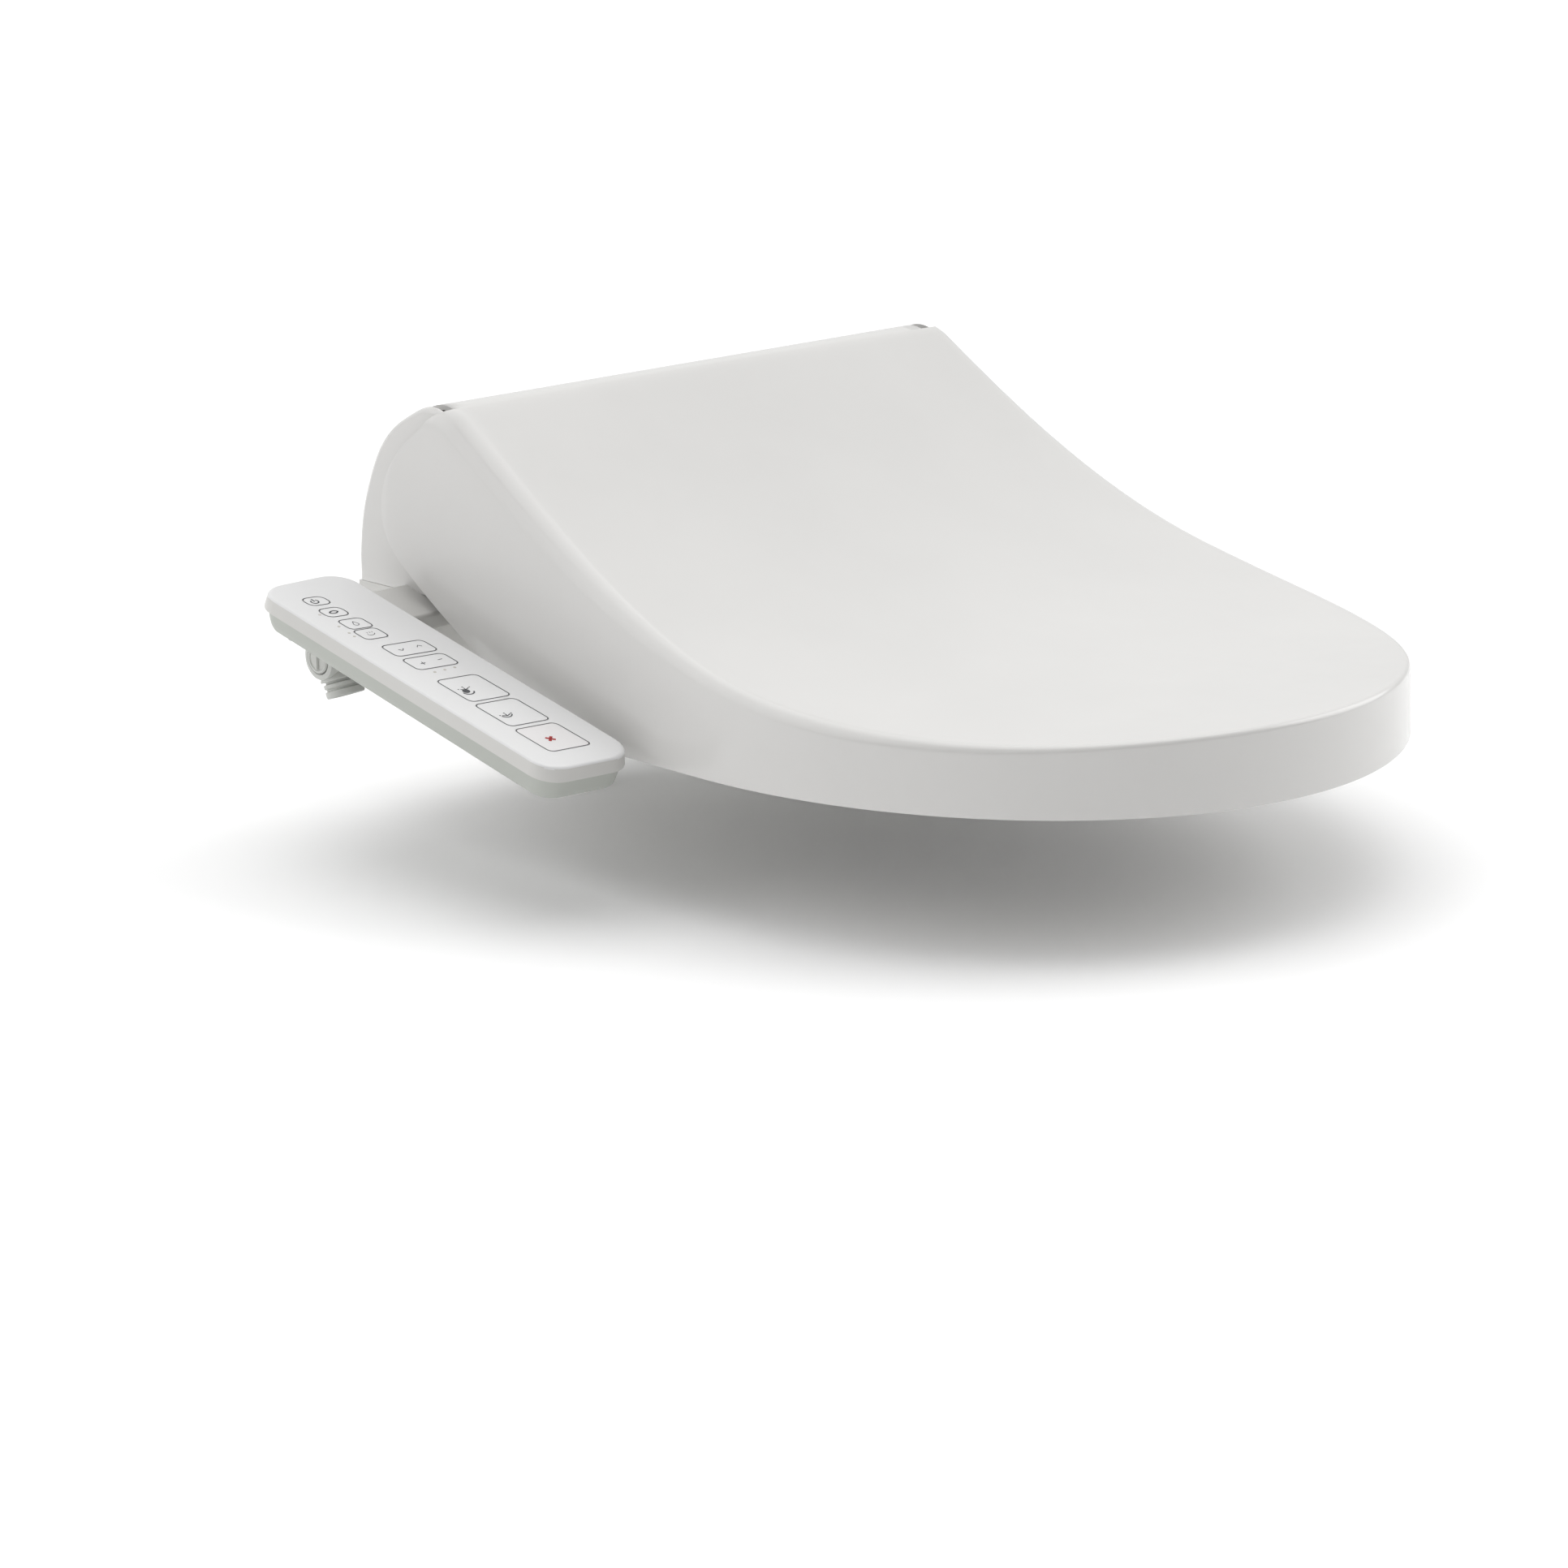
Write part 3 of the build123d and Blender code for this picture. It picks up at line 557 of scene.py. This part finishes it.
def seat_section(span):
    """(distance in from the outer edge, height) over a ring that is span wide: round sides, domed top."""
    outer, inner = min(13.0, span * 0.32), min(11.0, span * 0.3)
    section = [(0, SEAT_RIM_Z), (0, 12), (0.2, 17)]
    for f in np.linspace(0.1, RIGHT_ANGLE, 9):
        section.append((outer * (1 - math.cos(f)), 18.5 + 12.8 * math.sin(f)))
    for u in np.linspace(0, 1, 9)[1:-1]:
        dome = 1.6 * math.sin(math.pi * u) - 1.0 * u
        section.append((outer + (span - outer - inner) * u, SEAT_TOP_Z + dome))
    for f in np.linspace(RIGHT_ANGLE, 0.1, 9):
        section.append((span - inner * (1 - math.cos(f)), 19.3 + 11.0 * math.sin(f)))
    return section + [(span, 14), (span, SEAT_RIM_Z)]


def build_seat():
    rows = []
    for k in range(SEAT_STEPS):
        a = 2 * math.pi * k / SEAT_STEPS
        c, s = math.cos(a), math.sin(a)
        reach = seat_reach(a)
        span = reach - 1 / math.hypot(c / OPENING_HALF_X, s / OPENING_HALF_Y)
        rows.append([((reach - d) * c, OPENING_Y + (reach - d) * s, z) for d, z in seat_section(span)])
    rows.append(rows[0])
    seat = add_object("seat_ring_moulding", grid(rows), M["white_shell"], "seat")
    shell(seat, 2.6, 0.5)
    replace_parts(seat, "seat_top_shell")
    soften("seat_bottom_shell", 0.8, M["white_housing"])
    soften("seat_arms", 1.0, M["white_shell"])
    drum = [(0, 20), (0, 40.2), (0.6, 40.8), (4.8, 40.8), (5.4, 40.2), (5.4, 20), (0, 20)]
    for side, tag in SIDES:
        lathe("seat_hinge_drum_" + tag, drum, (side * DRUM_X, AXIS_Y, AXIS_Z), (side, 0, 0),
              M["white_shell"], "seat", 96)


# ---- water inlet -----------------------------------------------------------------------------------------
INLET_Y, INLET_Z = 13.0, 30.0
INLET_X, SPIGOT_X, PLUG_X = -173.0, -236.0, -248.0
SPIGOT_LEAN = math.radians(20)


def build_inlet():
    grey_plastic = M["grey_plastic"]
    barrel = [(0, 6), (0, 15), (4.2, 15), (4.4, 12), (38, 12), (38.6, 12.6), (41, 12.6), (41.6, 12),
              (73.4, 12), (74.6, 11.4), (75, 10.6), (75, 8.9), (74.4, 8.35), (67, 8.3), (67, 6)]
    body = lathe("inlet_elbow_barrel", barrel, (INLET_X, INLET_Y, INLET_Z), (-1, 0, 0), grey_plastic, "base")
    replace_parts(body, "inlet_elbow")
    spigot = [(4, 8), (12.6, 11.6), (13, 11.3), (13, 9.0), (14.2, 9.0), (14.7, 10.46), (16.6, 10.46),
              (17.1, 9.3), (18.0, 9.3), (18.5, 10.46), (21.4, 10.4), (22.0, 9.8), (22.0, 7.0), (6, 7.0)]
    down = (0, -math.sin(SPIGOT_LEAN), -math.cos(SPIGOT_LEAN))
    nipple = lathe("inlet_spigot_thread", spigot, (SPIGOT_X, INLET_Y, INLET_Z), down, grey_plastic, "base")
    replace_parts(nipple, "inlet_elbow")
    cap = [(-7, 0.1), (-7, 7.9), (0, 7.9), (0.7, 7.4), (0.9, 6.4), (0.3, 5.9), (0.3, 0.1)]
    plug = lathe("drain_plug_cap", cap, (PLUG_X, INLET_Y, INLET_Z), (-1, 0, 0), grey_plastic, "base")
    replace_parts(plug, "drain_plug")
    bm = box((PLUG_X - 0.7, INLET_Y, INLET_Z), (1.6, 2.2, 11.2))
    bmesh.ops.bevel(bm, geom=list(bm.edges), offset=0.4 * MM, segments=2, affect="EDGES")
    add_object("drain_plug_grip", bm, grey_plastic, "base")


# ---- fixings ---------------------------------------------------------------------------------------------
BOLT_X = 70.0
THREAD_START, THREAD_TURNS, THREAD_PITCH = 26.2, 44, 1.0
CRESTS, ROOTS = 2.78, 2.4  # radii of the bolt's thread
SOFTENED = {  # CAD nodes whose shape stays: edge width, material, segments
    "wing_nuts": (0.9, "grey_plastic", 3), "mounting_plate": (0.8, "grey_plastic", 2),
    "base_pads": (0.8, "rubber_grey", 2), "seat_bumpers": (1.2, "rubber_grey", 3),
    "lid_bumpers": (1.2, "rubber_grey", 3), "cord_gland": (0.7, "dark_plastic", 3),
    "release_button": (1.0, "white_housing", 3), "base_housing": (1.3, "white_housing", 2),
    "top_cover": (2.2, "white_housing", 3), "panel_neck": (0.8, "white_housing", 2),
}


def build_fixings():
    bolt = [(-7.4, 0.1), (-7.4, 6.2), (-4.6, 6.6), (-4.4, 3.15), (0, 3.15), (0, 2.98), (26, 2.98)]
    for k in range(THREAD_TURNS):
        at = THREAD_START + k * THREAD_PITCH
        bolt += [(at, CRESTS), (at + THREAD_PITCH / 2, ROOTS)]
    bolt += [(69.6, 2.5), (70, 1.8), (70, 0.1)]
    cone = [(28, 2.85), (28, 7.6), (28.6, 8), (43, 11.9), (44, 11.3), (44, 2.85)]
    for side, tag in SIDES:
        place = (side * BOLT_X, 0, 0), (0, 0, -1)
        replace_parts(lathe("fixing_bolt_" + tag, bolt, *place, M["steel"], "base", 32), "fixing_bolts")
        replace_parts(lathe("cone_washer_" + tag, cone, *place, M["rubber_dark"], "base", 48), "cone_washers")
    for node, (width, slot, segments) in SOFTENED.items():
        soften(node, width, M[slot], segments)


# ---- control panel ---------------------------------------------------------------------------------------
# The panel has a plane of its own: x across it, y along it to the wall, z out of its face.
PANEL_AT, PANEL_SLOPE = (-248.0, 0.0, 66.42), math.radians(14.46)
PANEL = Matrix.Translation(Vector(PANEL_AT) * MM) @ Matrix.Rotation(PANEL_SLOPE, 4, "X")
PANEL_UP = PANEL.to_3x3() @ Vector((0, 0, 1))
FACE = [(-31.0, 22.5), (25.0, 22.5), (32.3, -210.0), (-22.8, -204.6)]  # its corners, the outer rear one first
KEY_X, KEY_Y = Vector((1.0, -0.10)), Vector((-0.062, 1.0))  # the keys lean with the tapered face
KEYS = {  # middle x and y, width, length, corner radius
    "power_button": (-10.4, -2.1, 13.2, 10.2, 4.0), "energy_saver_button": (-10.1, -16.6, 13.7, 10.9, 4.0),
    "water_temperature_button": (-8.0, -32.4, 14.5, 12.2, 3.2),
    "seat_temperature_button": (-8.0, -45.4, 14.5, 12.2, 3.2),
    "position_rocker": (-0.1, -67.4, 25.7, 14.1, 3.4), "pressure_rocker": (0.2, -84.4, 25.6, 14.1, 3.4),
    "rear_wash_button": (1.3, -117.7, 25.0, 27.2, 3.4), "front_wash_button": (2.0, -147.4, 25.0, 27.2, 3.4),
    "stop_button": (3.0, -177.6, 25.4, 27.2, 3.4),
}
KEY_PROFILE = ((-0.1, -3.9), (0, -3.4), (0, -0.25), (-0.25, 0.0))  # growth and height, bottom to top
KEY_GAP = 0.22
BAND_OUT, BAND_FOOT_Z = 0.9, -8.0  # the side band stands this far outside FACE, and ends here
FACE_EDGE = 1.6  # round between the band and the face
FLAT_AREA = 4e-5  # square metres; larger polygons of the face are shaded flat
INK_Z, OUTLINE_Z = 0.07, 0.06  # prints lie just above the keys
PANEL_PLATES = {  # inset from FACE, bottom and top, material
    "button_mat": (3.6, -5.9, -5.45, "rubber_grey"),
    "panel_circuit_board": (4.2, -7.6, -6.2, "board_green"),
}
PANEL_SCREWS = ((-20, 2), (18, 2), (-15, -108), (18, -108))
SCREW_HEAD_Z = -20.6


def on_panel(x, y, z):
    """A point of the panel's plane in the scene, in metres."""
    return PANEL @ (Vector((x, y, z)) * MM)


def key_outline(node, grow):
    """A key's rounded rectangle, grown by so much all round."""
    cx, cy, w, h, r = KEYS[node]
    w, h, r = w + 2 * grow, h + 2 * grow, r + grow
    points = []
    for sx, sy, start in ((1, 1, 0), (-1, 1, 90), (-1, -1, 180), (1, -1, 270)):
        for a in np.linspace(start, start + 90, 7):
            u = sx * (w / 2 - r) + r * math.cos(math.radians(a))
            v = sy * (h / 2 - r) + r * math.sin(math.radians(a))
            points.append((cx + u * KEY_X.x + v * KEY_Y.x, cy + u * KEY_X.y + v * KEY_Y.y))
    return points


def rounded(inset, r):
    """The panel's outline moved inwards, with rounded corners."""
    moved, out = [], []
    count = len(FACE)
    for i in range(count):
        p, c, q = (Vector(FACE[k % count]) for k in (i - 1, i, i + 1))
        u, v = (c - p).normalized(), (q - c).normalized()
        nu, nv = Vector((u.y, -u.x)), Vector((v.y, -v.x))
        moved.append(c + (nu + nv) / (1 + nu.dot(nv)) * inset)
    for i in range(count):
        p, c, q = moved[i - 1], moved[i], moved[(i + 1) % count]
        u, v = (p - c).normalized(), (q - c).normalized()
        half = u.angle(v) / 2
        centre = c + (u + v).normalized() * r / math.sin(half)
        first, last = (c + side * r / math.tan(half) - centre for side in (u, v))
        turn = first.angle_signed(last)
        out += [tuple(centre + Matrix.Rotation(-turn * t, 2) @ first) for t in np.linspace(0, 1, 9)]
    return out


def stack(name, levels, material, body):
    """A closed piece from outlines, one per height; a height may be a function of the place."""
    bm = bmesh.new()
    rings = [[bm.verts.new(on_panel(x, y, z(x, y) if callable(z) else z)) for x, y in outline]
             for outline, z in levels]
    for a, b in zip(rings, rings[1:]):
        for i in range(len(a)):
            j = (i + 1) % len(a)
            bm.faces.new((a[i], a[j], b[j], b[i]))
    bm.faces.new(rings[0])
    bm.faces.new(rings[-1])
    return add_object(name, bm, material, body)


def build_face():
    levels = [(rounded(-BAND_OUT, 14.5), BAND_FOOT_Z), (rounded(-BAND_OUT, 14.5), BAND_FOOT_Z + 0.4)]
    for a in np.linspace(0, RIGHT_ANGLE, 6):
        inset = -0.2 + FACE_EDGE * (1 - math.cos(a))
        levels.append((rounded(inset, 14.3), FACE_EDGE * (math.sin(a) - 1)))
    face = stack("panel_face_moulding", levels, M["panel_white"], "base")
    for node in KEYS:
        hole = key_outline(node, KEY_GAP)
        cut(face, stack("key_hole", [(hole, -9.0), (hole, 3.0)], M["panel_white"], "base"))
    # Faces that turn away from the panel's face get the darker band material: painted shade on the sides of
    # the one white moulding
    face.data.materials.append(M["panel_band"])
    for p in face.data.polygons:
        p.use_smooth = p.area < FLAT_AREA
        p.material_index = 1 if p.normal.dot(PANEL_UP) < 0.2 else 0
    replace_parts(face, "panel_top_shell")


def build_keys():
    for node in KEYS:
        body = NODES[node]["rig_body"]
        levels = [(key_outline(node, grow), z) for grow, z in KEY_PROFILE]
        film = M["stop_white" if node == "stop_button" else "button_white"]
        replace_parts(stack("v_" + node, levels, film, body), node)
        bm = bmesh.new()
        stroke(bm, key_outline(node, -0.3), 0.5, OUTLINE_Z, closed=True)
        printed("outline_" + node, body, bm)


def build_inside():
    for node, (inset, low, high, slot) in PANEL_PLATES.items():
        outline = rounded(inset, 10)
        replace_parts(stack("v_" + node, [(outline, low), (outline, high)], M[slot], "base"), node)
    profile = [(-1.6, 0.1), (-1.6, 2.3), (-0.6, 2.5), (8, 1.2), (8, 0.1)]
    for x, y in PANEL_SCREWS:
        screw = lathe(f"panel_screw_{abs(x)}_{abs(y)}", profile, on_panel(x, y, SCREW_HEAD_Z) / MM, PANEL_UP,
                      M["steel"], "base", 24)
        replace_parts(screw, "panel_screws")


def under(depth):
    """Height of the grey underside where it is depth thick at most: shallower at both ends."""
    def z(x, y):
        rear, front = 0.6 + 0.4 * smoothstep(19, -2, y), 1 - 0.14 * smoothstep(-140, -205, y)
        return BAND_FOOT_Z - (depth + BAND_FOOT_Z) * rear * front
    return z


def build_underside():
    levels = [(rounded(0.9, 13.0), -7.9), (rounded(1.1, 12.8), -8.4), (rounded(2.2, 12.0), under(17.0)),
              (rounded(2.9, 11.5), under(20.0)), (rounded(3.8, 11.0), under(21.0)),
              (rounded(6.5, 9.5), under(21.4))]
    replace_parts(stack("panel_under_moulding", levels, M["panel_grey"], "base"), "panel_bottom_shell")


# ---- prints on the keys ----------------------------------------------------------------------------------
def stroke(bm, points, width, z=INK_Z, closed=False):
    """A flat printed line through points in the panel's plane."""
    n = len(points)
    left, right = [], []
    for i, (x, y) in enumerate(points):
        a = points[i - 1] if i or closed else points[i]
        b = points[(i + 1) % n] if i < n - 1 or closed else points[i]
        dx, dy = b[0] - a[0], b[1] - a[1]
        s = math.hypot(dx, dy) or 1
        nx, ny = -dy / s * width / 2, dx / s * width / 2
        left.append(bm.verts.new(on_panel(x + nx, y + ny, z)))
        right.append(bm.verts.new(on_panel(x - nx, y - ny, z)))
    for i in range(n if closed else n - 1):
        j = (i + 1) % n
        bm.faces.new((left[i], left[j], right[j], right[i]))


def dot(bm, x, y, r):
    turns = np.linspace(0, 2 * math.pi, 17)[:-1]
    bm.faces.new([bm.verts.new(on_panel(x + r * math.cos(a), y + r * math.sin(a), INK_Z)) for a in turns])


def arc(cx, cy, r, start, end, n, flat=1.0):
    """Points along an arc between two angles in degrees; flat squeezes it along y."""
    turns = np.radians(np.linspace(start, end, n))
    return [(cx + r * math.cos(a), cy + flat * r * math.sin(a)) for a in turns]


def printed(name, body, bm, ink="ink"):
    """The drawn lines as a piece that rides on a body."""
    obj = put_mesh(name, bm)
    obj.data.materials.append(M[ink])
    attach(obj, body)


def power_mark(bm):
    stroke(bm, arc(-11.6, -2.3, 2.1, -230, 50, 14), 0.8)
    stroke(bm, [(-11.6, -2.3), (-11.6, 0.9)], 0.8)


def leaf_mark(bm):
    stroke(bm, arc(-10.1, -18.2, 3.0, 25, 155, 9), 0.9)
    stroke(bm, arc(-10.1, -15.0, 3.0, 205, 335, 9), 0.9)


def chevron_marks(bm):
    stroke(bm, [(-6.6, -66.4), (-5.0, -68.2), (-3.4, -66.4)], 0.6)
    stroke(bm, [(4.4, -68.2), (6.0, -66.4), (7.6, -68.2)], 0.5)


def plus_minus_marks(bm):
    stroke(bm, [(-6.2, -84.4), (-3.2, -84.4)], 0.5)
    stroke(bm, [(-4.7, -85.9), (-4.7, -82.9)], 0.5)
    stroke(bm, [(5.0, -84.4), (7.8, -84.4)], 0.5)


def seat_heat_mark(bm):
    stroke(bm, arc(-8.0, -45.4, 2.2, 180, 360, 10, 0.7), 0.4)
    for x in (-9.6, -8.0, -6.4):
        stroke(bm, [(x, -44.6), (x + 0.4, -43.9), (x, -43.2)], 0.3)


def water_heat_mark(bm):
    tip = (-8.0, -29.8)
    stroke(bm, [tip, (-6.7, -32.2)] + arc(-8.0, -33.0, 1.5, 20, -200, 10) + [tip], 0.4)


def spray(bm, cx, cy):
    """Three jets that end in drops."""
    for dx, dy in ((-2.64, 1.2), (0, 2.2), (2.64, 1.2)):
        stroke(bm, [(cx, cy), (cx + dx, cy + dy)], 0.6)
        dot(bm, cx + dx * 1.35, cy + dy * 1.35 + 0.1, 0.45)


def rear_wash_mark(bm):
    dot(bm, -4.6, -119.0, 2.1)
    stroke(bm, arc(-4.0, -119.4, 3.4, 190, 340, 10), 0.8)
    spray(bm, -3.6, -117.6)


def front_wash_mark(bm):
    stroke(bm, arc(-2.8, -147.4, 3.6, 205, 335, 10), 0.7)
    spray(bm, -2.8, -149.6)


def stop_mark(bm):
    for rise in (-1.9, 1.9):
        stroke(bm, [(-1.2, -178.6 - rise), (2.6, -178.6 + rise)], 1.6)


MARKS = (
    ("mark_power", "power_key", power_mark, "ink"), ("mark_saver", "energy_saver_key", leaf_mark, "ink"),
    ("mark_position", "position_key", chevron_marks, "ink"),
    ("mark_pressure", "pressure_key", plus_minus_marks, "ink"),
    ("mark_seat_heat", "seat_temperature_key", seat_heat_mark, "ink"),
    ("mark_water_heat", "water_temperature_key", water_heat_mark, "ink"),
    ("mark_rear_wash", "rear_wash_key", rear_wash_mark, "ink"),
    ("mark_front_wash", "front_wash_key", front_wash_mark, "ink"),
    ("mark_stop", "stop_key", stop_mark, "red_ink"),
)


def build_marks():
    for name, body, draw, ink in MARKS:
        bm = bmesh.new()
        draw(bm)
        printed(name, body, bm, ink)


# ---- stage, light, camera --------------------------------------------------------------------------------
SKY_TOWARDS = (0.22, 0.50, 0.84)  # the studio is brightest on this side and fades to the other
SKY_FADE = {"From Min": -0.35, "From Max": 0.95, "To Min": 0.02, "To Max": 0.88}
SUNS = {  # direction it comes from, what it adds on a surface that faces it, its spread in degrees
    "top_light": ((0.1, 0.1, 1.0), 0.30, 60),
    "left_light": ((-1.0, 0.6, 0.7), 0.25, 60),
    "right_light": ((1.0, -0.5, 0.6), 0.42, 50),
}
CAMERA_AT = (-1.32936, -1.42761, 0.48538)  # metres
CAMERA_AZIMUTH, CAMERA_DIP, CAMERA_ROLL = (math.radians(a) for a in (-44.7695, 16.4513, -0.5369))


def build_floor():
    bm = bmesh.new()
    bmesh.ops.create_grid(bm, x_segments=1, y_segments=1, size=40)
    for v in bm.verts:
        v.co.z = cad_box[0][2] - 0.5 * MM
    floor = put_mesh("floor", bm)
    material, _, _, bsdf = new_material("floor_paper")
    bsdf.inputs["Base Color"].default_value = grey(0.96)
    bsdf.inputs["Roughness"].default_value = 0.9
    bsdf.inputs["Specular IOR Level"].default_value = 0.1
    floor.data.materials.append(material)


def build_light():
    world = bpy.data.worlds.new("studio")
    world.use_nodes = True
    nodes, links = world.node_tree.nodes, world.node_tree.links
    coords, lean = nodes.new("ShaderNodeTexCoord"), nodes.new("ShaderNodeVectorMath")
    lean.operation = "DOT_PRODUCT"
    lean.inputs[1].default_value = SKY_TOWARDS
    links.new(coords.outputs["Generated"], lean.inputs[0])
    fade = nodes.new("ShaderNodeMapRange")
    fade.interpolation_type = "SMOOTHSTEP"
    for key, value in SKY_FADE.items():
        fade.inputs[key].default_value = value
    links.new(lean.outputs["Value"], fade.inputs["Value"])
    links.new(fade.outputs["Result"], nodes["Background"].inputs["Strength"])
    nodes["Background"].inputs["Color"].default_value = grey(1)
    bpy.context.scene.world = world
    for name, (towards, strength, spread) in SUNS.items():
        light = bpy.data.lights.new(name, "SUN")
        light.energy, light.angle = strength * math.pi, math.radians(spread)
        put(name, light).rotation_euler = Vector(towards).to_track_quat("Z", "Y").to_euler()
    bpy.context.scene.view_settings.view_transform = "Standard"


def build_camera():
    """The photo's camera: azimuth turns it about z, dip tips it down and roll leans it sideways."""
    camera = bpy.data.cameras.new("camera")
    camera.sensor_width, camera.lens, camera.clip_end = 36.0, 79.59, 100
    c, s = math.cos(CAMERA_AZIMUTH), math.sin(CAMERA_AZIMUTH)
    right = Vector((c, s, 0))
    ahead = Vector((-s, c, 0)) * math.cos(CAMERA_DIP) - Vector((0, 0, math.sin(CAMERA_DIP)))
    up = right.cross(ahead)
    x = right * math.cos(CAMERA_ROLL) + up * math.sin(CAMERA_ROLL)
    y = up * math.cos(CAMERA_ROLL) - right * math.sin(CAMERA_ROLL)
    obj = put("camera", camera)
    obj.matrix_world = Matrix.Translation(CAMERA_AT) @ Matrix((x, y, -ahead)).transposed().to_4x4()
    bpy.context.scene.camera = obj


paint_cad()
build_lid()
build_rear_cover()
build_seat()
build_inlet()
build_fixings()
build_face()
build_keys()
build_inside()
build_underside()
build_marks()
build_floor()
build_light()
build_camera()
